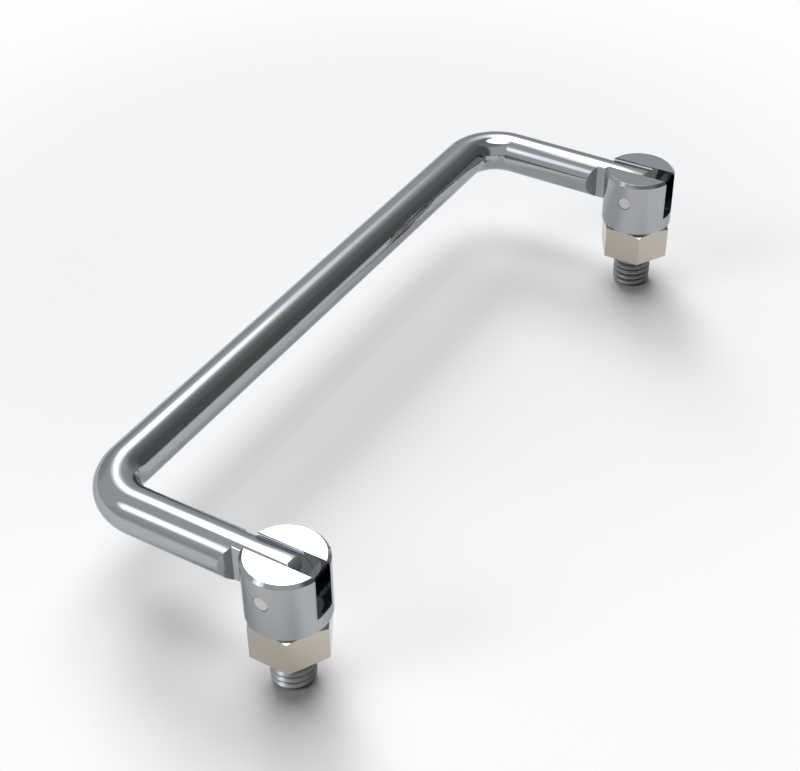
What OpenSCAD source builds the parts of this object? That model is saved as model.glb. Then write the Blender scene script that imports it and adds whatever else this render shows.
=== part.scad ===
// Folding bar handle: a round bar, bent into a bail, whose two flattened ends
// turn on cross pins in the slotted heads of two threaded posts.
// The origin lies midway between the posts, on the plane of the heads' undersides,
// which is the face of the panel. Z points out of the panel and X runs along the
// grip. The bail is drawn folded flat, with its grip towards -Y.

/* [Bail] */
// Distance between the axes of the two posts
span = 101.6; // [70:0.1:200]
// Diameter of the round bar
bar_d = 6.35; // [5:0.05:7.5]
// Distance from the pin axis to the axis of the grip
reach = 29; // [22:0.5:60]
// Radius of the two bends, at the middle of the bar
bend_r = 6.4; // [4.5:0.1:10]

/* [Tongues] */
// Play between a tongue and each wall of its slot
side_gap = 0.1; // [0.05:0.01:0.25]
// Gap between a tongue and the floor of its slot
floor_gap = 0.2; // [0.1:0.05:0.5]
// Gap between the full bar and the head's corner as the bail swings past it
shoulder_gap = 0.15; // [0.1:0.05:1]
// Length of the ramps between the flats and the full bar
ramp_l = 1.25; // [0.6:0.05:3]

/* [Heads] */
// Diameter of a head
head_d = 11.1; // [10.5:0.1:12.5]
// Height of the pin axis above the panel
pivot_h = 5.4; // [4.8:0.1:9]
// Height of a head above the pin axis
head_above = 3.5; // [3.2:0.1:5]
// Size of the bevel around a head's top
head_bevel = 0.45; // [0.2:0.05:0.8]
// Width of the slot across a head
slot_w = 3.2; // [2.6:0.1:3.8]

/* [Pins] */
// Diameter of a cross pin, which is pressed into its head
pin_d = 2.1; // [1.5:0.1:2.6]
// Running clearance between a pin and the hole in its tongue, on the radius
pin_play = 0.05; // [0.02:0.01:0.08]
// Depth of a pin's ends below the side of its head
pin_sink = 0.05; // [0:0.05:0.4]
// Size of the bevel on a pin's ends
pin_bevel = 0.12; // [0.05:0.01:0.3]

/* [Studs] */
// Outer diameter of the thread
stud_d = 6; // [5:0.1:6.5]
// Length of a stud below its head
stud_l = 12; // [9:0.5:40]
// Size of the bevel on a stud's end
stud_bevel = 0.45; // [0.2:0.05:0.9]

/* [Nuts] */
// Width of a nut across its flats
nut_af = 10; // [9.5:0.1:13]
// Height of a nut
nut_h = 5.8; // [4:0.1:6.5]
// Distance from a nut's flats in to the edge of its bearing face
nut_land = 0.6; // [0.2:0.05:0.8]
// Slope of the bevel around a nut's bearing face, in degrees
nut_slope = 30; // [15:1:40]
// Clearance between a stud and the bore of its nut, on the radius
nut_play = 0.05; // [0.03:0.01:0.1]
// Size of the countersink at both ends of a nut's bore
nut_sink = 0.35; // [0.1:0.05:0.5]

/* [Hidden] */
$fn = 96;
// Overshoot of a cutting shape past the faces that it cuts
over = 1;
bar_r = bar_d / 2;
head_r = head_d / 2;
pin_r = pin_d / 2;
stud_r = stud_d / 2;
head_top = pivot_h + head_above;
tongue_t = slot_w - 2 * side_gap;
// The flats end just outside the circle that a head's upper corner describes
flats_l = norm([head_r, head_above]) + shoulder_gap;
slot_floor = pivot_h - bar_r - floor_gap;
leg_l = reach - bend_r;

// Copies a piece to the left post or to the right one
module at_post(side) {
    translate([side * span / 2, 0, 0]) children();
}

// Half of a turned outline, which has its axis at x = 0, made a solid
module turned(outline) {
    rotate_extrude() polygon(outline);
}

// A bar along X, centred on x = 0
module cross_bar(r, l) {
    rotate([0, 90, 0]) cylinder(h = l, r = r, center = true);
}

// Plan of a leg: full bar, ramps and tongue, from the bend to past the pin
module leg_plan() {
    wide = bar_r + over;
    slope = (bar_r - tongue_t / 2) / ramp_l;
    ramp_end = flats_l + (wide - tongue_t / 2) / slope;
    polygon([
        [-wide, -leg_l - over], [wide, -leg_l - over],
        [wide, -ramp_end], [tongue_t / 2, -flats_l],
        [tongue_t / 2, bar_d], [-tongue_t / 2, bar_d],
        [-tongue_t / 2, -flats_l], [-wide, -ramp_end]
    ]);
}

// Side view of a leg, which ends in a half round about the pin
module leg_side() {
    rotate([90, 0, 90]) linear_extrude(height = bar_d + 2 * over, center = true) {
        circle(r = bar_r);
        translate([-leg_l - over, -bar_r]) square([leg_l + over, bar_d]);
    }
}

// One leg of the bail, from its bend to its tongue, with the hole for the pin
module leg() {
    difference() {
        intersection() {
            translate([0, -leg_l, 0]) rotate([-90, 0, 0]) cylinder(h = leg_l + bar_d, r = bar_r);
            leg_side();
            linear_extrude(height = bar_d + 2 * over, center = true) leg_plan();
        }
        cross_bar(pin_r + pin_play, tongue_t + 2 * over);
    }
}

// One bend of the bail, from the grip round to the right leg
module bend() {
    translate([span / 2 - bend_r, -leg_l, 0]) rotate([0, 0, -90])
        rotate_extrude(angle = 90) translate([bend_r, 0]) circle(r = bar_r);
}

module handle_bar() {
    color("gainsboro") translate([0, 0, pivot_h]) {
        translate([0, -reach, 0]) cross_bar(bar_r, span - 2 * bend_r);
        for (side = [-1, 1]) {
            at_post(side) leg();
            mirror([side < 0 ? 1 : 0, 0, 0]) bend();
        }
    }
}

// A head and its stud, turned in one piece, with the slot and the hole for the pin
module post(side) {
    color("silver") at_post(side) difference() {
        turned([
            [0, -stud_l], [stud_r - stud_bevel, -stud_l], [stud_r, stud_bevel - stud_l],
            [stud_r, 0], [head_r, 0], [head_r, head_top - head_bevel],
            [head_r - head_bevel, head_top], [0, head_top]
        ]);
        translate([-slot_w / 2, -head_r - over, slot_floor])
            cube([slot_w, head_d + 2 * over, head_top - slot_floor + over]);
        translate([0, 0, pivot_h]) cross_bar(pin_r, head_d + 2 * over);
    }
}

// A cross pin with bevelled ends, held by the head and turned on by the tongue
module pin(side) {
    half = head_r - pin_sink;
    color("whitesmoke") at_post(side) translate([0, 0, pivot_h]) rotate([0, 90, 0]) turned([
        [0, -half], [pin_r - pin_bevel, -half], [pin_r, pin_bevel - half],
        [pin_r, half - pin_bevel], [pin_r - pin_bevel, half], [0, half]
    ]);
}

// A hexagon nut run up to its head, with the bevelled face upwards
module nut(side) {
    bore_r = stud_r + nut_play;
    corner_r = nut_af / 2 / cos(30);
    face_r = nut_af / 2 - nut_land;
    cone_h = (corner_r - face_r + over) * tan(nut_slope);
    color([0.68, 0.64, 0.59]) at_post(side) difference() {
        intersection() {
            translate([0, 0, -nut_h]) rotate([0, 0, 30]) cylinder(h = nut_h, r = corner_r, $fn = 6);
            turned([
                [0, -nut_h - over], [corner_r + over, -nut_h - over],
                [corner_r + over, -cone_h], [face_r, 0], [0, 0]
            ]);
        }
        turned([
            [0, -nut_h - over], [bore_r + nut_sink + over, -nut_h - over],
            [bore_r, nut_sink - nut_h], [bore_r, -nut_sink],
            [bore_r + nut_sink + over, over], [0, over]
        ]);
    }
}

handle_bar();
post(-1);  // left_post
post(1);  // right_post
pin(-1);  // left_pin
pin(1);  // right_pin
nut(-1);  // left_nut
nut(1);  // right_nut
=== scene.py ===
"""Looks of a folding bar handle: polished bar, slotted heads, threaded studs and nuts, in a studio."""

import logging
import math
from abc import ABC, abstractmethod
from dataclasses import dataclass
from enum import Enum, auto
from typing import Any

import bmesh
import bpy
from mathutils import Matrix, Vector


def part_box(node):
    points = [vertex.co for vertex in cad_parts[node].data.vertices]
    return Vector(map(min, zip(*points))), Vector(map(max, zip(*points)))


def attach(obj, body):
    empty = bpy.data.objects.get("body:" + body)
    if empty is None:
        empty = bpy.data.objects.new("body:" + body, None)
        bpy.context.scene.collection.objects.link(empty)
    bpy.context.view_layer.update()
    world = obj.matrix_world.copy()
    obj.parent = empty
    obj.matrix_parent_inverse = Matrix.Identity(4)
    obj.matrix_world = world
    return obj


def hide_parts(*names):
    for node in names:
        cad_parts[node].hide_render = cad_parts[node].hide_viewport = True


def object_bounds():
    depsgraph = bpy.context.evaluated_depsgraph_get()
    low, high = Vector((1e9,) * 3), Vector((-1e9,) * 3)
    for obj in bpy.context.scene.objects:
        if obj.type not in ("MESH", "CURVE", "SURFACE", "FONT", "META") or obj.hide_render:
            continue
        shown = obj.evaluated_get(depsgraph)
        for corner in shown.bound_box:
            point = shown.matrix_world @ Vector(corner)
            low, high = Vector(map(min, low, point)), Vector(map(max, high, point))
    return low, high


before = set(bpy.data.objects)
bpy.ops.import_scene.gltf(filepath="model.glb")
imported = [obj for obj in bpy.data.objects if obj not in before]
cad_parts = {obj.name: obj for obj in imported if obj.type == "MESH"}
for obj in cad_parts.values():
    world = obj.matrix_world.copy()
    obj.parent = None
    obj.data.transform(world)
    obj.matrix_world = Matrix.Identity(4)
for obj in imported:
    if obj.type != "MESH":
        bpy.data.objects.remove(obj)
cad_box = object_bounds()

log = logging.getLogger("bar_handle")

MM = 0.001

ORIGIN = (0.0, 0.0, 0.0)
UP = (0.0, 0.0, 1.0)
QUARTER_TURN = math.pi / 2.0

# Lengths in millimetres: how near points are that are one, how near a point is to a plane that it
# lies on, and how far a cutting shape goes past what it cuts
WELD = 1e-4
FINE_WELD = 1e-5
ON_PLANE = 1e-3
SPARE = 1.0

# Angles between two faces, in degrees: past them shading breaks, an edge is broken, a ridge is rounded
SHADING_LIMIT = 32.0
BROKEN_LIMIT = 25.0
RIDGE_LIMIT = 30.0

# Facets across a rounded edge, and around the hole for a pin
EDGE_FACETS = 2
HOLE_FACETS = 64


class Side(Enum):
    """The side on which a post stands, with its pin and its nut."""

    LEFT = "left"
    RIGHT = "right"


class TonguePart(Enum):
    """The parts of a flattened end, in the order in which they are drawn out."""

    RAMP = auto()
    FLAT = auto()
    WAIST = auto()
    END = auto()


class Signal:
    """A number that runs through a shader; Python's operators on it add Math nodes."""

    def __init__(self, graph: "Graph", socket: bpy.types.NodeSocket) -> None:
        """Wraps one output socket of a node in the graph's tree."""
        self.graph = graph
        self.socket = socket

    def math(self, operation: str, *values: Any) -> "Signal":
        """Adds one Math node.

        Args:
            operation: The Math node's operation.
            values: Its inputs, as signals or numbers.

        Returns:
            The node's result.
        """
        node = self.graph.node("ShaderNodeMath", {"operation": operation}, dict(enumerate(values)))
        return Signal(self.graph, node.outputs[0])

    def __add__(self, other: Any) -> "Signal":
        """Self plus other."""
        return self.math("ADD", self, other)

    def __radd__(self, other: Any) -> "Signal":
        """Other plus self."""
        return self.math("ADD", other, self)

    def __sub__(self, other: Any) -> "Signal":
        """Self minus other."""
        return self.math("SUBTRACT", self, other)

    def __rsub__(self, other: Any) -> "Signal":
        """Other minus self."""
        return self.math("SUBTRACT", other, self)

    def __mul__(self, other: Any) -> "Signal":
        """Self times other."""
        return self.math("MULTIPLY", self, other)

    def __rmul__(self, other: Any) -> "Signal":
        """Other times self."""
        return self.math("MULTIPLY", other, self)

    def __pow__(self, other: Any) -> "Signal":
        """Self to the power of other."""
        return self.math("POWER", self, other)

    def __abs__(self) -> "Signal":
        """Self without its sign."""
        return self.math("ABSOLUTE", self)

    def larger(self, other: Any) -> "Signal":
        """The larger of self and other."""
        return self.math("MAXIMUM", self, other)

    def smooth(self, low: float, high: float) -> "Signal":
        """A smooth step of self, from 0 at low to 1 at high."""
        return self.graph.signal("ShaderNodeMapRange", 0, {"interpolation_type": "SMOOTHSTEP"},
                                 {"Value": self, "From Min": low, "From Max": high})


class Graph:
    """A node tree that is being filled."""

    def __init__(self, tree: bpy.types.NodeTree) -> None:
        """Empties the tree."""
        self.tree = tree
        tree.nodes.clear()

    def node(self, kind: str, settings: dict[str, Any] | None = None,
             sockets: dict[Any, Any] | None = None) -> bpy.types.Node:
        """Adds a node.

        Args:
            kind: The node's type.
            settings: Its properties, which are set first.
            sockets: The value or link of each input, by name or number.

        Returns:
            The node.
        """
        node = self.tree.nodes.new(kind)
        for name, value in (settings or {}).items():
            setattr(node, name, value)
        for key, value in (sockets or {}).items():
            source = value.socket if isinstance(value, Signal) else value
            if isinstance(source, bpy.types.NodeSocket):
                self.tree.links.new(source, node.inputs[key])
            else:
                node.inputs[key].default_value = source
        return node

    def signal(self, kind: str, output: Any, settings: dict[str, Any] | None = None,
               sockets: dict[Any, Any] | None = None) -> Signal:
        """Adds a node, as node() does, and returns one of its outputs as a signal."""
        return Signal(self, self.node(kind, settings, sockets).outputs[output])

    def place(self) -> tuple[bpy.types.NodeSocket, Signal, Signal, Signal]:
        """Finds the point on the piece, in metres.

        Returns:
            The point as a vector socket, and its X, Y and Z as signals.
        """
        point = self.node("ShaderNodeTexCoord").outputs["Object"]
        split = self.node("ShaderNodeSeparateXYZ", sockets={0: point})
        return (point, *(Signal(self, output) for output in split.outputs))

    def noise(self, point: Any, per_mm: float, detail: float = 3.0) -> Signal:
        """Soft noise from 0 to 1 with a number of lumps to the millimetre."""
        return self.signal("ShaderNodeTexNoise", "Fac", {},
                           {"Vector": point, "Scale": per_mm / MM, "Detail": detail})

    def rings(self, length: Signal, per_mm: float, detail: float = 3.0) -> Signal:
        """Soft noise from 0 to 1 that changes only with one length, such as a radius in metres."""
        return self.signal("ShaderNodeTexNoise", "Fac", {"noise_dimensions": "1D"},
                           {"W": length, "Scale": per_mm / MM, "Detail": detail})

    def stretched(self, point: Any, scale: tuple[float, float, float]) -> bpy.types.NodeSocket:
        """The point with its axes scaled, which draws noise out along the smaller ones."""
        node = self.node("ShaderNodeVectorMath", {"operation": "MULTIPLY"}, {0: point, 1: scale})
        return node.outputs[0]

    def blend(self, share: Any, first: Any, second: Any) -> bpy.types.NodeSocket:
        """A colour between two colours, by a share from 0 to 1."""
        node = self.node("ShaderNodeMix", {"data_type": "RGBA"}, {"Factor": share, "A": first, "B": second})
        return node.outputs["Result"]


def rgba(colour: tuple[float, float, float], share: float = 1.0) -> tuple[float, float, float, float]:
    """A colour times a share, with full alpha."""
    return (*(share * part for part in colour), 1.0)


@dataclass(frozen=True)
class Surface:
    """What changes over a surface.

    Attributes:
        colour: Its colour.
        roughness: Its roughness.
        marks: The height of its finest marks, from 0 to 1.
    """

    colour: Any
    roughness: Any
    marks: Any


@dataclass(frozen=True)
class Finish(ABC):
    """A metal finish.

    Attributes:
        name: The material's name.
        colour: Reflected colour, linear.
        roughness: Mean roughness.
        relief: Depth of its finest marks, in millimetres.
        edge: Share of a plain metal's reflection that is left where the surface turns out of sight.
        dim: Share of the colour that is left where it is dimmest.
        marks: Number of its finest marks to the millimetre.
        patches: Number of its soft patches to the millimetre.
        gloss: Shares of the roughness: what is there everywhere, and what patches and marks add.
    """

    name: str
    colour: tuple[float, float, float]
    roughness: float
    relief: float
    edge: float = 1.0
    dim: float = 0.95
    marks: float = 7.0
    patches: float = 0.2
    gloss: tuple[float, float, float] = (0.75, 0.3, 0.2)

    @abstractmethod
    def surface(self, graph: Graph) -> Surface:
        """Draws what changes over the surface."""

    def shade(self, graph: Graph, share: Signal) -> bpy.types.NodeSocket:
        """The colour, from its dimmest to its full strength, by a share from 0 to 1."""
        return graph.blend(share, rgba(self.colour, self.dim), rgba(self.colour))

    def worn(self, patches: Signal, marks: Signal) -> Signal:
        """The roughness, which wanders with the soft patches and with the marks."""
        everywhere, from_patches, from_marks = self.gloss
        return self.roughness * (everywhere + from_patches * patches + from_marks * marks)

    def material(self) -> bpy.types.Material:
        """Makes the material.

        Returns:
            The material, which shows the finish on any piece.
        """
        material = bpy.data.materials.new(self.name)
        material.use_nodes = True
        graph = Graph(material.node_tree)
        look = self.surface(graph)
        bump = graph.node("ShaderNodeBump", {},
                          {"Strength": 1.0, "Distance": self.relief * MM, "Height": look.marks})
        shader = graph.node("ShaderNodeBsdfPrincipled", {}, {
            "Base Color": look.colour, "Metallic": 1.0, "Roughness": look.roughness,
            "Normal": bump.outputs[0], "Specular Tint": rgba((self.edge,) * 3),
        })
        graph.node("ShaderNodeOutputMaterial", {}, {"Surface": shader.outputs[0]})
        return material


@dataclass(frozen=True)
class PolishedBar(Finish):
    """Bright chrome on drawn bar, with faint polishing lines along the grip and the legs.

    Attributes:
        turn_in: Distance from the bar's side to where its lines begin to turn, in millimetres.
        turn_width: Width over which they turn, in millimetres.
        draw: Share of the noise's scale that is left along the lines.
    """

    patches: float = 0.12
    turn_in: float = 10.0
    turn_width: float = 4.0
    draw: float = 0.02

    def surface(self, graph: Graph) -> Surface:
        """Draws the lines along X on the grip and along Y on the legs, and patches where hands rub.

        Args:
            graph: The material's graph.

        Returns:
            What changes over the bar.
        """
        point, x, _, _ = graph.place()
        leg_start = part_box("handle_bar")[1].x - self.turn_in * MM
        on_leg = abs(x).smooth(leg_start, leg_start + self.turn_width * MM)
        grip_lines = graph.noise(graph.stretched(point, (self.draw, 1.0, 1.0)), self.marks)
        leg_lines = graph.noise(graph.stretched(point, (1.0, self.draw, 1.0)), self.marks)
        lines = grip_lines + (leg_lines - grip_lines) * on_leg
        patches = graph.noise(point, self.patches)
        return Surface(self.shade(graph, patches), self.worn(patches, lines), lines)


@dataclass(frozen=True)
class TurnedPost(Finish):
    """Bright chrome on a turned head, and a darker stud with painted shade in the roots of its thread.

    Attributes:
        stud_colour: Reflected colour of the crests of the thread, linear.
        stud_roughness: Roughness of the stud.
        root_shade_share: Share of the stud's colour that is left in the roots, as painted shade.
        root_shade_r: Radius up to which the painted shade in the roots is full, in millimetres.
        shade_free_r: Radius from which the crests are free of the painted shade, in millimetres.
        turn_width: Height over which the head's finish turns to the stud's, in millimetres.
    """

    marks: float = 9.0
    stud_colour: tuple[float, float, float] = (0.37, 0.375, 0.38)
    stud_roughness: float = 0.3
    root_shade_share: float = 0.3
    root_shade_r: float = 2.42
    shade_free_r: float = 2.7
    turn_width: float = 0.1

    def surface(self, graph: Graph) -> Surface:
        """Draws rings about the post's axis, and the stud below the head, with painted shade in its
        thread's roots.

        Args:
            graph: The material's graph.

        Returns:
            What changes over the post.
        """
        point, x, y, z = graph.place()
        low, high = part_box("right_post")
        out = abs(x) - (low.x + high.x) / 2.0
        radius = (out * out + y * y) ** 0.5
        rings = graph.rings(z + radius, self.marks)
        patches = graph.noise(point, self.patches)
        # Painted shade: the stud's colour is cut to a share in the thread's roots, full inside one radius
        # and gone past another
        out_of_root_shade = radius.smooth(self.root_shade_r * MM, self.shade_free_r * MM)
        stud = graph.blend(out_of_root_shade, rgba(self.stud_colour, self.root_shade_share), rgba(self.stud_colour))
        on_stud = z.smooth(0.0, -self.turn_width * MM)
        roughness = self.worn(patches, rings)
        roughness = roughness + (self.stud_roughness - roughness) * on_stud
        return Surface(graph.blend(on_stud, self.shade(graph, patches), stud), roughness,
                       rings * (1.0 + on_stud))


@dataclass(frozen=True)
class FacedPin(Finish):
    """Bare steel pins, whose ends show the rings left by the lathe."""

    dim: float = 0.92
    marks: float = 11.0
    patches: float = 1.0
    gloss: tuple[float, float, float] = (0.85, 0.3, 0.0)

    def surface(self, graph: Graph) -> Surface:
        """Draws rings about the pin's axis.

        Args:
            graph: The material's graph.

        Returns:
            What changes over the pin.
        """
        point, x, y, z = graph.place()
        low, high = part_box("right_pin")
        up = z - (low.z + high.z) / 2.0
        radius = (y * y + up * up) ** 0.5
        rings = graph.rings(abs(x) + radius, self.marks)
        patches = graph.noise(point, self.patches)
        return Surface(self.shade(graph, rings), self.worn(patches, rings), rings)


@dataclass(frozen=True)
class DrawnNut(Finish):
    """Warm satin plating on a nut cut from drawn hexagon bar.

    Attributes:
        draw: Share of the noise's scale that is left along the lines.
        grain: Number of its satin grains to the millimetre.
        grain_detail: Detail of the grain's noise.
        line_share: Share of the lines in the relief, of which the rest is grain.
    """

    dim: float = 0.94
    marks: float = 5.0
    patches: float = 0.3
    gloss: tuple[float, float, float] = (0.8, 0.25, 0.15)
    draw: float = 0.03
    grain: float = 14.0
    grain_detail: float = 2.0
    line_share: float = 0.6

    def surface(self, graph: Graph) -> Surface:
        """Draws faint lines along the bar's length under a fine satin grain.

        Args:
            graph: The material's graph.

        Returns:
            What changes over the nut.
        """
        point, _, _, _ = graph.place()
        lines = graph.noise(graph.stretched(point, (1.0, 1.0, self.draw)), self.marks)
        grain = graph.noise(point, self.grain, self.grain_detail)
        patches = graph.noise(point, self.patches)
        return Surface(self.shade(graph, patches), self.worn(patches, grain),
                       self.line_share * lines + (1.0 - self.line_share) * grain)


def box_mm(node: str) -> tuple[Vector, Vector]:
    """The lowest and the highest corner of a CAD node's box, in millimetres."""
    low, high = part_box(node)
    return low / MM, high / MM


def dress(piece: bpy.types.Object, material: bpy.types.Material) -> None:
    """Gives a piece its one material.

    Args:
        piece: The piece.
        material: Its material.
    """
    piece.data.materials.clear()
    piece.data.materials.append(material)


def new_piece(name: str, mesh: bpy.types.Mesh) -> bpy.types.Object:
    """Adds an object at the origin.

    Args:
        name: The object's name.
        mesh: The mesh that it holds.

    Returns:
        The object.
    """
    piece = bpy.data.objects.new(name, mesh)
    bpy.context.scene.collection.objects.link(piece)
    return piece


def to_mesh(name: str, shape: bmesh.types.BMesh) -> bpy.types.Mesh:
    """Makes a bmesh a mesh.

    Args:
        name: The mesh's name.
        shape: The bmesh in millimetres, which is freed.

    Returns:
        The mesh in metres.
    """
    bmesh.ops.scale(shape, vec=(MM, MM, MM), verts=shape.verts)
    mesh = bpy.data.meshes.new(name)
    shape.to_mesh(mesh)
    shape.free()
    return mesh


def chain(shape: bmesh.types.BMesh, points: list[tuple[float, float]]) -> list[bmesh.types.BMEdge]:
    """Draws a half outline in the XZ plane.

    Args:
        shape: The bmesh that takes it.
        points: Its corners, as radius and height.

    Returns:
        Its edges.
    """
    corners = [shape.verts.new((radius, 0.0, height)) for radius, height in points]
    return [shape.edges.new(pair) for pair in zip(corners, corners[1:])]


def turned(points: list[tuple[float, float]], steps: int) -> bmesh.types.BMesh:
    """Spins a half outline about Z into a solid of revolution.

    Args:
        points: The outline, as radius and height, from the axis to the axis or back to its start.
        steps: Steps of the full turn.

    Returns:
        The solid.
    """
    shape = bmesh.new()
    edges = chain(shape, points)
    bmesh.ops.spin(shape, geom=shape.verts[:] + edges, cent=ORIGIN, axis=UP,
                   angle=math.tau, steps=steps, use_merge=True)
    bmesh.ops.remove_doubles(shape, verts=shape.verts, dist=FINE_WELD)
    bmesh.ops.recalc_face_normals(shape, faces=shape.faces)
    return shape


def pin_cutter(radius: float, length: float, middle: Any) -> bmesh.types.BMesh:
    """Makes a rod along X, which cuts the hole for a pin.

    Args:
        radius: Radius of the hole.
        length: Length of the rod.
        middle: The point at the rod's middle.

    Returns:
        The rod.
    """
    rod = bmesh.new()
    bmesh.ops.create_cone(rod, cap_ends=True, segments=HOLE_FACETS, radius1=radius, radius2=radius,
                          depth=length)
    bmesh.ops.rotate(rod, matrix=Matrix.Rotation(QUARTER_TURN, 3, "Y"), verts=rod.verts)
    bmesh.ops.translate(rod, vec=middle, verts=rod.verts)
    return rod


def carve(solid: bmesh.types.BMesh, cutters: list[bmesh.types.BMesh]) -> bmesh.types.BMesh:
    """Cuts closed shapes out of a solid.

    Args:
        solid: The solid, which is freed.
        cutters: The shapes to cut away, which are freed.

    Returns:
        What is left.
    """
    body = new_piece("carved", to_mesh("carved", solid))
    tools = [new_piece("cutter", to_mesh("cutter", cutter)) for cutter in cutters]
    for tool in tools:
        cut = body.modifiers.new("cut", "BOOLEAN")
        cut.operation = "DIFFERENCE"
        cut.solver = "EXACT"
        cut.object = tool
    evaluated = body.evaluated_get(bpy.context.evaluated_depsgraph_get())
    result = bmesh.new()
    result.from_mesh(evaluated.to_mesh())
    evaluated.to_mesh_clear()
    bmesh.ops.scale(result, vec=(1.0 / MM,) * 3, verts=result.verts)
    for item in (body, *tools):
        mesh = item.data
        bpy.data.objects.remove(item)
        bpy.data.meshes.remove(mesh)
    bmesh.ops.remove_doubles(result, verts=result.verts, dist=WELD)
    return result


def sharp_edges(shape: bmesh.types.BMesh, degrees: float) -> list[bmesh.types.BMEdge]:
    """The edges between faces that turn by more than an angle."""
    limit = math.radians(degrees)
    return [edge for edge in shape.edges
            if len(edge.link_faces) == 2 and edge.calc_face_angle(0.0) > limit]


def mark_edges(shape: bmesh.types.BMesh) -> None:
    """Marks the edges of a shape that are broken.

    Args:
        shape: The shape, whose sharper edges get the weight that break_edges() looks for.
    """
    layers = shape.edges.layers.float
    weight = layers.get("bevel_weight_edge") or layers.new("bevel_weight_edge")
    for edge in sharp_edges(shape, BROKEN_LIMIT):
        edge[weight] = 1.0


def break_edges(piece: bpy.types.Object, width: float) -> None:
    """Rounds a piece's marked edges.

    Args:
        piece: The piece.
        width: Width of the rounding, in millimetres.
    """
    bevel = piece.modifiers.new("broken_edges", "BEVEL")
    bevel.limit_method = "WEIGHT"
    bevel.width = width * MM
    bevel.segments = EDGE_FACETS
    bevel.harden_normals = True
    bevel.use_clamp_overlap = False


def finish_piece(name: str, shape: bmesh.types.BMesh, broken: float, material: bpy.types.Material,
                 body: str, node: str) -> bpy.types.Object:
    """Makes a closed shape a dressed piece that rides on a body and stands for a CAD node.

    Args:
        name: The piece's name.
        shape: Its shape in millimetres, which is freed.
        broken: Width of its broken edges, in millimetres.
        material: Its material.
        body: The body that it rides on.
        node: The CAD node that it stands for.

    Returns:
        The piece.
    """
    bmesh.ops.recalc_face_normals(shape, faces=shape.faces)
    for face in shape.faces:
        face.smooth = True
    mesh = to_mesh(name, shape)
    mesh.set_sharp_from_angle(angle=math.radians(SHADING_LIMIT))
    piece = new_piece(name, mesh)
    break_edges(piece, broken)
    dress(piece, material)
    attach(piece, body)
    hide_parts(node)
    log.info("%s: %d faces", name, len(mesh.polygons))
    return piece


def bisect(shape: bmesh.types.BMesh, height: float, way: float, clear_outer: bool = False) -> None:
    """Cuts a shape level at a height, and clears what lies past the cut where that is asked for."""
    bmesh.ops.bisect_plane(shape, geom=shape.verts[:] + shape.edges[:] + shape.faces[:],
                           dist=FINE_WELD, plane_co=(0.0, 0.0, height), plane_no=(0.0, 0.0, way),
                           clear_outer=clear_outer)


def join_rims(shape: bmesh.types.BMesh, height: float) -> None:
    """Closes the ring between the two open rims at a height."""
    rims = [edge for edge in shape.edges
            if edge.is_boundary and all(abs(vert.co.z - height) < ON_PLANE for vert in edge.verts)]
    bmesh.ops.bridge_loops(shape, edges=rims)


def join(shape: bmesh.types.BMesh, other: bmesh.types.BMesh) -> None:
    """Adds another shape to a shape.

    Args:
        shape: The shape that takes it.
        other: The other shape, which is freed.
    """
    carrier = bpy.data.meshes.new("carrier")
    other.to_mesh(carrier)
    other.free()
    shape.from_mesh(carrier)
    bpy.data.meshes.remove(carrier)


@dataclass(frozen=True)
class Thread:
    """A metric thread about the Z axis, in millimetres.

    Attributes:
        crest: Radius of its crests on a stud, or of the deepest part of its groove in a nut.
        root: Radius of its groove on a stud, or of its inner ridge in a nut.
        pitch: Rise in one turn.
        steps: Steps in one turn.
        ease: Width of the rounding on crests and roots.
        flare_cuts: Level cuts that give a bevel on its end its facets.
    """

    crest: float
    root: float
    pitch: float = 1.0
    steps: int = 96
    ease: float = 0.035
    flare_cuts: int = 5

    def wind(self, low: float, high: float) -> bmesh.types.BMesh:
        """Winds the thread's surface, open at both ends.

        Args:
            low: Height of its lower end.
            high: Height of its upper end.

        Returns:
            The surface.
        """
        root_half, crest_half = self.pitch / 8.0, self.pitch / 16.0
        middle = self.pitch / 2.0
        # Whole turns, from below the lower end to above the upper one, where the cuts clear them
        start = (math.floor(low / self.pitch) - 2) * self.pitch
        turns = math.ceil((high - start) / self.pitch) + 1
        shape = bmesh.new()
        edges = chain(shape, [
            (self.root, start - root_half), (self.root, start + root_half),
            (self.crest, start + middle - crest_half), (self.crest, start + middle + crest_half),
            (self.root, start + self.pitch - root_half),
        ])
        bmesh.ops.spin(shape, geom=shape.verts[:] + edges, cent=ORIGIN, axis=UP,
                       dvec=(0.0, 0.0, self.pitch / self.steps), angle=math.tau, steps=self.steps)
        one_turn = shape.faces[:]
        for turn in range(1, turns):
            copied = bmesh.ops.duplicate(shape, geom=one_turn)["geom"]
            raised = [item for item in copied if isinstance(item, bmesh.types.BMVert)]
            bmesh.ops.translate(shape, vec=(0.0, 0.0, turn * self.pitch), verts=raised)
        bmesh.ops.remove_doubles(shape, verts=shape.verts, dist=WELD)
        bmesh.ops.bevel(shape, geom=sharp_edges(shape, RIDGE_LIMIT), offset=self.ease,
                        offset_type="OFFSET", segments=EDGE_FACETS, profile=0.5, affect="EDGES",
                        material=-1)
        for height, way in ((low, -1.0), (high, 1.0)):
            bisect(shape, height, way, clear_outer=True)
        return shape

    def flare(self, shape: bmesh.types.BMesh, face: float, way: float, radius: float,
              outside: bool) -> None:
        """Turns a 45 degree bevel on one end of a wound thread.

        Args:
            shape: The thread's surface.
            face: Height of the end.
            way: 1 where the end looks up, -1 where it looks down.
            radius: Radius of the bevel at the end.
            outside: Whether the thread is a stud's, which the bevel narrows, or a nut's, which it
                opens.
        """
        depth = abs(radius - self.crest if outside else radius - self.root)
        for cut in range(1, self.flare_cuts + 1):
            bisect(shape, face - way * cut * depth / self.flare_cuts, way)
        for vert in shape.verts:
            inward = (face - vert.co.z) * way
            if inward > depth:
                continue
            reach = vert.co.xy.length
            limit = radius + inward if outside else radius - inward
            if (reach > limit) == outside:
                vert.co.xy *= limit / reach


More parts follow.
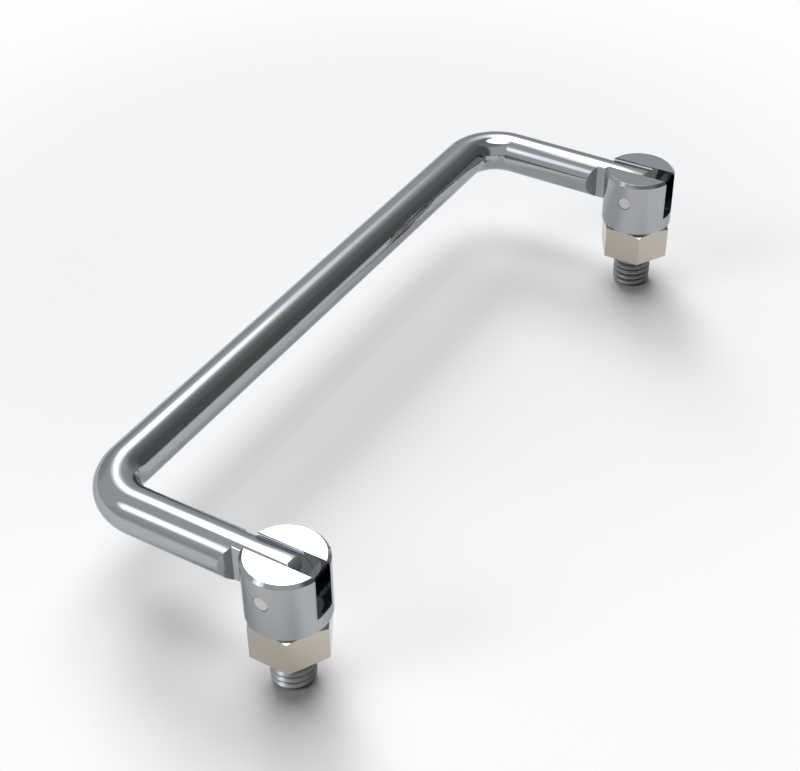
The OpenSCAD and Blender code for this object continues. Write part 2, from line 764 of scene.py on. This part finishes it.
@dataclass(frozen=True)
class HandleBar:
    """The bail: a round bar with two bends and two flattened ends, in millimetres.

    Attributes:
        bend_r: Radius of the bends, at the middle of the bar.
        tongue_t: Thickness of the flattened ends, which all but fill their slots.
        flats_l: Distance from the pin to where the flats end.
        ramp_l: Length of the ramps between the flats and the full bar.
        hole_r: Radius of the holes for the pins.
        around: Facets around the bar.
        grip_steps: Rows of faces along half the grip.
        bend_steps: Rows of faces around a bend.
        leg_steps: Rows of faces along a leg's full bar.
        snap: Distance from a flat within which a ramp's corner moves onto it.
        broken: Width of the broken edges.
    """

    bend_r: float = 6.4
    tongue_t: float = 3.18
    flats_l: float = 6.71
    ramp_l: float = 1.25
    hole_r: float = 1.1
    around: int = 96
    grip_steps: int = 16
    bend_steps: int = 40
    leg_steps: int = 6
    snap: float = 0.05
    broken: float = 0.03

    node = "handle_bar"

    def run(self, shape: bmesh.types.BMesh, ring: list[Any], way: tuple[float, float, float],
            steps: int) -> list[Any]:
        """Draws a ring out along a straight line.

        Args:
            shape: The bar, as drawn so far.
            ring: Its last ring.
            way: The line, from its start to its end.
            steps: Rows of faces along it.

        Returns:
            The new last ring.
        """
        return bmesh.ops.spin(shape, geom=ring, cent=ORIGIN, axis=UP, angle=0.0, steps=steps,
                              dvec=tuple(part / steps for part in way))["geom_last"]

    def half(self) -> bmesh.types.BMesh:
        """Draws the right half of the bar, from the middle of the grip to its flattened end.

        Returns:
            The half, open in the middle of the grip.
        """
        low, high = box_mm(self.node)
        bar_r = (high.z - low.z) / 2.0
        pivot = Vector((high.x - bar_r, 0.0, low.z + bar_r))
        reach = -low.y - bar_r
        shape = bmesh.new()
        bmesh.ops.create_circle(shape, segments=self.around, radius=bar_r)
        for turn, axis in ((math.pi / self.around, "Z"), (QUARTER_TURN, "Y")):
            bmesh.ops.rotate(shape, matrix=Matrix.Rotation(turn, 3, axis), verts=shape.verts)
        bmesh.ops.translate(shape, vec=(0.0, -reach, pivot.z), verts=shape.verts)
        ring = self.run(shape, shape.verts[:] + shape.edges[:], (pivot.x - self.bend_r, 0.0, 0.0),
                        self.grip_steps)
        ring = bmesh.ops.spin(shape, geom=ring, axis=UP, angle=QUARTER_TURN, steps=self.bend_steps,
                              cent=(pivot.x - self.bend_r, self.bend_r - reach, pivot.z))["geom_last"]
        ring = self.run(shape, ring, (0.0, reach - self.bend_r - self.flats_l - 2.0 * self.ramp_l, 0.0),
                        self.leg_steps)
        self.flatten(shape, ring, pivot, bar_r)
        rim = [edge for edge in shape.edges if edge.is_boundary]
        bmesh.ops.contextual_create(shape, geom=rim)
        shape = carve(shape, [pin_cutter(self.hole_r, 4.0 * bar_r, pivot)])
        cap = [face for face in shape.faces if abs(face.calc_center_median().x) < ON_PLANE]
        bmesh.ops.delete(shape, geom=cap, context="FACES_ONLY")
        return shape

    def flatten(self, shape: bmesh.types.BMesh, ring: list[Any], pivot: Vector, bar_r: float) -> None:
        """Draws the ramps, the flats and the half round end.

        Args:
            shape: The bar, as drawn so far.
            ring: Its last ring.
            pivot: The point on the pin's axis in the middle of the end.
            bar_r: Radius of the bar.
        """
        half_t = self.tongue_t / 2.0
        slope = (bar_r - half_t) / self.ramp_l
        edges = [item for item in ring if isinstance(item, bmesh.types.BMEdge)]
        for part in TonguePart:
            extruded = bmesh.ops.extrude_edge_only(shape, edges=edges)["geom"]
            edges = [item for item in extruded if isinstance(item, bmesh.types.BMEdge)]
            for vert in (item for item in extruded if isinstance(item, bmesh.types.BMVert)):
                out = vert.co.x - pivot.x
                up = vert.co.z - pivot.z
                if part is TonguePart.RAMP:
                    if abs(abs(out) - half_t) < self.snap:
                        out = math.copysign(half_t, out)
                        up = math.copysign(math.sqrt(bar_r**2 - half_t**2), up)
                    back = self.flats_l + max(0.0, abs(out) - half_t) / slope
                    vert.co = (pivot.x + out, -back, pivot.z + up)
                elif part is TonguePart.END:
                    vert.co.y = math.sqrt(max(0.0, bar_r**2 - up**2))
                else:
                    vert.co.x = pivot.x + max(-half_t, min(half_t, out))
                    vert.co.y = -self.flats_l if part is TonguePart.FLAT else -self.flats_l / 2.0
        sides = [edge for edge in edges
                 if (edge.verts[0].co.x - pivot.x) * (edge.verts[1].co.x - pivot.x) > 0.0]
        bmesh.ops.bridge_loops(shape, edges=sides)
        bmesh.ops.remove_doubles(shape, verts=shape.verts, dist=WELD)

    def build(self, material: bpy.types.Material) -> bpy.types.Object:
        """Builds the bar, dresses it and lets it ride on the bail's body.

        Args:
            material: The bar's material.

        Returns:
            The bar.
        """
        shape = self.half()
        bmesh.ops.mirror(shape, geom=shape.verts[:] + shape.edges[:] + shape.faces[:], axis="X",
                         merge_dist=ON_PLANE)
        bmesh.ops.recalc_face_normals(shape, faces=shape.faces)
        mark_edges(shape)
        return finish_piece(f"{self.node}_polished", shape, self.broken, material, "bail",
                            self.node)


@dataclass(frozen=True)
class PostPart:
    """A part of one of the two posts, whose CAD node is named after its side and its kind.

    Attributes:
        side: The side on which it stands.
    """

    side: Side

    kind = "part"

    @property
    def node(self) -> str:
        """The part's CAD node."""
        return f"{self.side.value}_{self.kind}"


@dataclass(frozen=True)
class Post(PostPart):
    """A slotted head with its threaded stud, in millimetres.

    Attributes:
        head_bevel: Bevel around the head's top.
        slot_w: Width of the slot.
        slot_floor: Height of the slot's floor above the head's underside.
        pivot_h: Height of the pin.
        pin_r: Radius of the pin's hole.
        stud_bevel: Bevel on the stud's end.
        neck: Length of the plain neck under the head.
        around: Facets around the head.
        rows: Rows of faces up the head's side.
        broken: Width of the broken edges.
        thread: The stud's thread.
    """

    head_bevel: float = 0.45
    slot_w: float = 3.2
    slot_floor: float = 2.025
    pivot_h: float = 5.4
    pin_r: float = 1.05
    stud_bevel: float = 0.45
    neck: float = 0.3
    around: int = 128
    rows: int = 28
    broken: float = 0.015
    thread: Thread = Thread(crest=2.97, root=2.39)

    kind = "post"

    def head(self) -> bmesh.types.BMesh:
        """Turns the head and cuts its slot and the hole for the pin.

        Returns:
            The head, about the Z axis.
        """
        low, high = box_mm(self.node)
        radius = (high.x - low.x) / 2.0
        rise = (high.z - self.head_bevel) / self.rows
        underside = [(0.0, 0.0), (self.thread.root, 0.0)]
        side_wall = [(radius, row * rise) for row in range(self.rows + 1)]
        top = [(radius - self.head_bevel, high.z), (0.0, high.z)]
        head = turned(underside + side_wall + top, self.around)
        cutter_l = 4.0 * radius
        depth = high.z - self.slot_floor + SPARE
        slot = bmesh.new()
        bmesh.ops.create_cube(slot, size=1.0)
        bmesh.ops.scale(slot, vec=(self.slot_w, cutter_l, depth), verts=slot.verts)
        bmesh.ops.translate(slot, vec=(0.0, 0.0, self.slot_floor + depth / 2.0), verts=slot.verts)
        return carve(head, [slot, pin_cutter(self.pin_r, cutter_l, (0.0, 0.0, self.pivot_h))])

    def stud(self) -> bmesh.types.BMesh:
        """Winds the stud's thread and closes its bevelled end.

        Returns:
            The stud, about the Z axis, open at its neck.
        """
        end = box_mm(self.node)[0].z
        shape = self.thread.wind(end, -self.neck)
        self.thread.flare(shape, end, -1.0, self.thread.crest - self.stud_bevel, outside=True)
        last = [edge for edge in shape.edges if edge.is_boundary and edge.verts[0].co.z < end + ON_PLANE]
        bmesh.ops.contextual_create(shape, geom=last)
        return shape

    def build(self, material: bpy.types.Material) -> bpy.types.Object:
        """Builds the post, dresses it and lets it ride on the posts' body.

        Args:
            material: The post's material.

        Returns:
            The post.
        """
        low, high = box_mm(self.node)
        shape = self.head()
        mark_edges(shape)
        middles = {face: face.calc_center_median() for face in shape.faces}
        under = [face for face, middle in middles.items()
                 if abs(middle.z) < ON_PLANE and middle.xy.length < self.thread.root]
        bmesh.ops.delete(shape, geom=under, context="FACES")
        join(shape, self.stud())
        rims = [edge for edge in shape.edges if edge.is_boundary]
        bmesh.ops.bridge_loops(shape, edges=rims)
        bmesh.ops.translate(shape, vec=((low.x + high.x) / 2.0, 0.0, 0.0), verts=shape.verts)
        return finish_piece(f"{self.node}_threaded", shape, self.broken, material, "posts",
                            self.node)


@dataclass(frozen=True)
class CrossPin(PostPart):
    """A cross pin, whose CAD solid shows as it is and gets a better finish."""

    kind = "pin"

    def build(self, material: bpy.types.Material) -> None:
        """Dresses the pin's solid with a material."""
        dress(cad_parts[self.node], material)
        log.info("%s: dressed", self.node)


@dataclass(frozen=True)
class HexNut(PostPart):
    """A hexagon nut with its thread, in millimetres.

    Attributes:
        sides: Number of its flats.
        face_r: Radius of the bearing face.
        slope: Slope of the bevel around the bearing face, in degrees.
        sink: Depth of the countersinks at both ends of the bore.
        rim: Width of the flat ring that is drawn between each countersink and the blank.
        upright: Upper limit of the Z of a wall's normal.
        around: Facets around the bevel.
        broken: Width of the broken edges.
        thread: The thread in its bore.
    """

    sides: int = 6
    face_r: float = 4.4
    slope: float = 30.0
    sink: float = 0.35
    rim: float = 0.15
    upright: float = 0.5
    around: int = 128
    broken: float = 0.06
    thread: Thread = Thread(crest=3.05, root=2.5, ease=0.03)

    kind = "nut"

    def blank(self) -> bmesh.types.BMesh:
        """Cuts the hexagon, bevels its upper corners and opens it for the bore.

        Returns:
            The blank, about the Z axis, without the wall of its bore.
        """
        low, high = box_mm(self.node)
        height = high.z - low.z
        corner_r = (high.x - low.x) / 2.0 / math.cos(math.pi / self.sides)
        blank = bmesh.new()
        bmesh.ops.create_cone(blank, cap_ends=True, segments=self.sides, radius1=corner_r,
                              radius2=corner_r, depth=height)
        bmesh.ops.translate(blank, vec=(0.0, 0.0, (high.z + low.z) / 2.0), verts=blank.verts)
        wide = corner_r + SPARE
        drop = (wide - self.face_r) * math.tan(math.radians(self.slope))
        cone = turned([(self.face_r, high.z), (self.face_r, high.z + SPARE), (wide, high.z + SPARE),
                       (wide, high.z - drop), (self.face_r, high.z)], self.around)
        bore_r = self.thread.crest + self.sink + self.rim
        bore = bmesh.new()
        bmesh.ops.create_cone(bore, cap_ends=True, segments=self.thread.steps, radius1=bore_r,
                              radius2=bore_r, depth=4.0 * height)
        blank = carve(blank, [cone, bore])
        wall = [face for face in blank.faces if abs(face.normal.z) < self.upright
                and face.calc_center_median().xy.length < bore_r]
        bmesh.ops.delete(blank, geom=wall, context="FACES")
        return blank

    def build(self, material: bpy.types.Material) -> bpy.types.Object:
        """Builds the nut, dresses it and lets it ride on the posts' body.

        Args:
            material: The nut's material.

        Returns:
            The nut.
        """
        low, high = box_mm(self.node)
        shape = self.blank()
        mark_edges(shape)
        bore = self.thread.wind(low.z, high.z)
        mouth_r = self.thread.crest + self.sink
        self.thread.flare(bore, high.z, 1.0, mouth_r, outside=False)
        self.thread.flare(bore, low.z, -1.0, mouth_r, outside=False)
        join(shape, bore)
        join_rims(shape, low.z)
        join_rims(shape, high.z)
        bmesh.ops.translate(shape, vec=((low.x + high.x) / 2.0, 0.0, 0.0), verts=shape.verts)
        return finish_piece(f"{self.node}_threaded", shape, self.broken, material, "posts",
                            self.node)


def direction(azimuth: float, elevation: float) -> Vector:
    """The unit vector towards an azimuth about Z from +X and an elevation, both in degrees."""
    turn, lift = math.radians(azimuth), math.radians(elevation)
    return Vector((math.cos(turn) * math.cos(lift), math.sin(turn) * math.cos(lift), math.sin(lift)))


@dataclass(frozen=True)
class Softbox:
    """A round lamp that faces the object from a distance.

    Attributes:
        name: The lamp's name.
        azimuth: Direction to the lamp about Z, in degrees from +X.
        elevation: Its height above the horizon, in degrees.
        width: Its width, in degrees seen from the object.
        height: Its height, in degrees seen from the object.
        radiance: Its brightness, where 1 is white.
        colour: Its tint.
        distance: Its distance, in metres.
    """

    name: str
    azimuth: float
    elevation: float
    width: float
    height: float
    radiance: float
    colour: tuple[float, float, float] = (1.0, 1.0, 1.0)
    distance: float = 6.0

    def add(self) -> bpy.types.Object:
        """Adds the lamp to the scene.

        Returns:
            The lamp, which the camera and the metal don't see.
        """
        data = bpy.data.lights.new(self.name, "AREA")
        data.shape = "ELLIPSE"
        data.size = 2.0 * self.distance * math.tan(math.radians(self.width / 2.0))
        data.size_y = 2.0 * self.distance * math.tan(math.radians(self.height / 2.0))
        area = data.size * data.size_y * (math.pi / 4.0)
        data.energy = self.radiance * math.pi * area
        data.color = self.colour
        lamp = bpy.data.objects.new(self.name, data)
        lamp.location = self.distance * direction(self.azimuth, self.elevation)
        turn = Matrix.Rotation(math.radians(self.azimuth + 90.0), 3, "Z")
        tilt = Matrix.Rotation(math.radians(90.0 - self.elevation), 3, "X")
        lamp.rotation_euler = (turn @ tilt).to_euler()
        lamp.visible_camera = False
        lamp.visible_glossy = False
        bpy.context.scene.collection.objects.link(lamp)
        return lamp


@dataclass(frozen=True)
class WallTone:
    """A darker or lighter patch of the studio's walls, with a soft edge.

    Attributes:
        azimuth: Direction to its middle about Z, in degrees from +X.
        elevation: Height of its middle above the horizon, in degrees.
        inner: Angle from its middle to where its edge begins, in degrees.
        outer: Angle from its middle to where its edge ends, in degrees.
        level: Its brightness, where 1 is white.
    """

    azimuth: float
    elevation: float
    inner: float
    outer: float
    level: float

    def over(self, graph: Graph, way: bpy.types.NodeSocket, level: Any) -> Signal:
        """Lays the patch over the level of the walls.

        Args:
            graph: The world's graph.
            way: The direction of view.
            level: The level so far.

        Returns:
            The level with the patch.
        """
        toward = graph.signal("ShaderNodeVectorMath", "Value", {"operation": "DOT_PRODUCT"},
                              {0: way, 1: tuple(direction(self.azimuth, self.elevation))})
        share = toward.smooth(math.cos(math.radians(self.outer)), math.cos(math.radians(self.inner)))
        return level + (self.level - level) * share


@dataclass(frozen=True)
class Studio:
    """The floor, the lamps and the walls around the object.

    Attributes:
        floor_size: Side of the floor, in metres.
        floor_painted_shade: The floor's colour under the object, darker and a little blue: painted shade.
        floor_pale: Its paler colour around the object.
        floor_painted_dark_edge: Its colour far from the object, near that of the walls' foot: the dark edge
            of a painted pool of light.
        painted_pool_middle: X and Y of the middle of the painted shade and of the painted pool of light on
            the floor, in millimetres.
        painted_shade_radii: Radii between which the painted shade turns to the paler floor, in millimetres.
        painted_pool_radii: Radii between which the painted pool of light turns to the colour of its dark
            edge, in millimetres.
        wall: Brightness of the walls that metal shows, where 1 is white.
        ambient: Brightness of the walls as a light.
        wall_colour: Tint of the walls.
        dark_colour: Tint of their dark side.
        dark_levels: Brightness up to which the dark side's tint is full, and from which it is gone.
        softboxes: The lamps, which light the floor.
        tones: The darker and lighter patches of the walls, in the order in which they are laid on.
        fronts: The lamps' soft white fronts, as the metal mirrors them.
    """

    floor_size: float = 6.0
    # The floor's colour is painted shade under the object, and the dark edge of a painted pool of light far
    # from it
    floor_painted_shade: tuple[float, float, float] = (0.852, 0.857, 0.865)
    floor_pale: tuple[float, float, float] = (0.94, 0.94, 0.94)
    floor_painted_dark_edge: tuple[float, float, float] = (0.58, 0.58, 0.58)
    painted_pool_middle: tuple[float, float] = (-40.0, -48.0)
    painted_shade_radii: tuple[float, float] = (50.0, 120.0)
    painted_pool_radii: tuple[float, float] = (132.0, 300.0)
    wall: float = 0.69
    ambient: float = 0.01
    wall_colour: tuple[float, float, float] = (0.95, 0.98, 1.0)
    dark_colour: tuple[float, float, float] = (0.98, 1.0, 0.98)
    dark_levels: tuple[float, float] = (0.15, 0.6)
    softboxes: tuple[Softbox, ...] = (
        Softbox("overhead_box", -45.0, 88.0, 30.0, 30.0, 2.2, (0.95, 0.98, 1.0)),
        Softbox("key_box", -136.0, 38.0, 22.0, 39.0, 5.5),
        Softbox("wide_box", -148.0, 65.0, 54.0, 64.0, 2.6),
        Softbox("fill_box", -38.0, 37.0, 26.0, 26.0, 3.2),
    )
    tones: tuple[WallTone, ...] = (
        # The lower walls
        WallTone(-170.0, -5.0, 12.0, 40.0, 0.5),
        WallTone(-112.0, 8.0, 10.0, 24.0, 0.5),
        WallTone(-38.0, 0.0, 5.0, 22.0, 0.56),
        # The dark side, past the posts, and up over the object
        WallTone(155.0, 15.0, 10.0, 32.0, 0.34),
        WallTone(140.0, 38.0, 5.0, 42.0, 0.22),
        WallTone(90.0, 80.0, 26.0, 38.0, 0.33),
        WallTone(105.0, 10.0, 33.0, 50.0, 0.15),
        # The glow around two of the lamps
        WallTone(-138.5, 51.0, 10.0, 23.0, 1.8),
        WallTone(-38.0, 38.0, 8.0, 15.5, 1.9),
    )
    fronts: tuple[WallTone, ...] = (
        WallTone(-45.0, 88.0, 12.0, 22.5, 6.0),
        WallTone(-133.0, 66.0, 5.5, 14.0, 6.0),
        WallTone(-138.5, 51.0, 7.5, 13.8, 6.0),
        WallTone(-38.0, 38.0, 2.0, 7.5, 6.0),
    )

    def build(self) -> None:
        """Adds the floor, the walls and the lamps."""
        self._floor()
        self._walls()
        for box in self.softboxes:
            box.add()

    def _floor(self) -> None:
        """Adds a pale floor, on which the studs' ends stand, with painted shade under the object and a
        painted pool of light whose edge darkens far from it.
        """
        mesh = bpy.data.meshes.new("floor")
        shape = bmesh.new()
        bmesh.ops.create_grid(shape, x_segments=1, y_segments=1, size=self.floor_size / 2.0)
        bmesh.ops.translate(shape, verts=shape.verts, vec=(0.0, 0.0, cad_box[0][2]))
        shape.to_mesh(mesh)
        shape.free()
        material = bpy.data.materials.new("pale_floor_painted_shade")
        material.use_nodes = True
        graph = Graph(material.node_tree)
        _, x, y, _ = graph.place()
        right, back = x - self.painted_pool_middle[0] * MM, y - self.painted_pool_middle[1] * MM
        distance = (right * right + back * back) ** 0.5
        # Painted shade under the object fades to the pale floor, then the painted pool of light darkens to
        # its edge
        pale = distance.smooth(*(radius * MM for radius in self.painted_shade_radii))
        edge = distance.smooth(*(radius * MM for radius in self.painted_pool_radii))
        colour = graph.blend(pale, rgba(self.floor_painted_shade), rgba(self.floor_pale))
        colour = graph.blend(edge, colour, rgba(self.floor_painted_dark_edge))
        shader = graph.node("ShaderNodeBsdfDiffuse", {}, {"Color": colour})
        graph.node("ShaderNodeOutputMaterial", {}, {"Surface": shader.outputs[0]})
        mesh.materials.append(material)
        new_piece("floor", mesh)

    def _walls(self) -> None:
        """Adds grey walls that the camera and the metal see, and that give little light."""
        world = bpy.data.worlds.new("studio_walls")
        bpy.context.scene.world = world
        world.use_nodes = True
        graph = Graph(world.node_tree)
        way = graph.node("ShaderNodeTexCoord").outputs["Generated"]
        level: Any = self.wall
        for tone in (*self.tones, *self.fronts):
            level = tone.over(graph, way, level)
        rays = graph.node("ShaderNodeLightPath").outputs
        camera, glossy, through = (Signal(graph, rays[name]) for name in
                                   ("Is Camera Ray", "Is Glossy Ray", "Is Transmission Ray"))
        seen = camera.larger(glossy).larger(through)
        strength = self.ambient + (level - self.ambient) * seen
        tint = graph.blend(level.smooth(*self.dark_levels), rgba(self.dark_colour),
                           rgba(self.wall_colour))
        background = graph.node("ShaderNodeBackground", {}, {"Color": tint, "Strength": strength})
        graph.node("ShaderNodeOutputWorld", {}, {"Surface": background.outputs[0]})


@dataclass(frozen=True)
class PhotoCamera:
    """The camera, at the photograph's view.

    Attributes:
        place: Where it stands, in millimetres.
        aim: The point at the middle of its view, in millimetres.
        roll: Its turn about its own axis, in degrees.
        lens: Its focal length, in millimetres.
        sensor: Width of its sensor, in millimetres.
        clip: The nearest and the furthest that it sees, in metres.
    """

    place: tuple[float, float, float] = (160.519, 83.439, 142.798)
    aim: tuple[float, float, float] = (6.808, -10.575, 0.0)
    roll: float = -0.92
    lens: float = 72.537
    sensor: float = 36.0
    clip: tuple[float, float] = (0.005, 20.0)

    def build(self) -> None:
        """Adds the camera and makes it the scene's own."""
        data = bpy.data.cameras.new("photo_camera")
        data.lens = self.lens
        data.sensor_width = self.sensor
        data.clip_start, data.clip_end = self.clip
        camera = bpy.data.objects.new("photo_camera", data)
        place = Vector(self.place) * MM
        look = (Vector(self.aim) * MM - place).to_track_quat("-Z", "Y").to_matrix().to_4x4()
        roll = Matrix.Rotation(math.radians(self.roll), 4, "Z")
        camera.matrix_world = Matrix.Translation(place) @ look @ roll
        bpy.context.scene.collection.objects.link(camera)
        bpy.context.scene.camera = camera


BAR_CHROME = PolishedBar(
    name="polished_bar", colour=(0.408, 0.42, 0.438), roughness=0.055, relief=0.00012, edge=0.72)
POST_CHROME = TurnedPost(
    name="turned_post", colour=(0.408, 0.422, 0.444), roughness=0.055, relief=0.00012, edge=0.72)
PIN_STEEL = FacedPin(name="faced_pin", colour=(0.66, 0.64, 0.61), roughness=0.4, relief=0.0006)
NUT_PLATING = DrawnNut(name="warm_satin_nut", colour=(0.53, 0.483, 0.42), roughness=0.22, relief=0.0008)


def main() -> None:
    """Builds the pieces, the studio and the camera."""
    logging.basicConfig(level=logging.INFO, format="%(name)s: %(message)s")
    finishes = (BAR_CHROME, POST_CHROME, PIN_STEEL, NUT_PLATING)
    bar, post, pin, nut = (finish.material() for finish in finishes)
    HandleBar().build(bar)
    for side in Side:
        Post(side).build(post)
        CrossPin(side).build(pin)
        HexNut(side).build(nut)
    Studio().build()
    PhotoCamera().build()
    bpy.context.scene.view_settings.view_transform = "Standard"


if __name__ == "__main__":
    main()
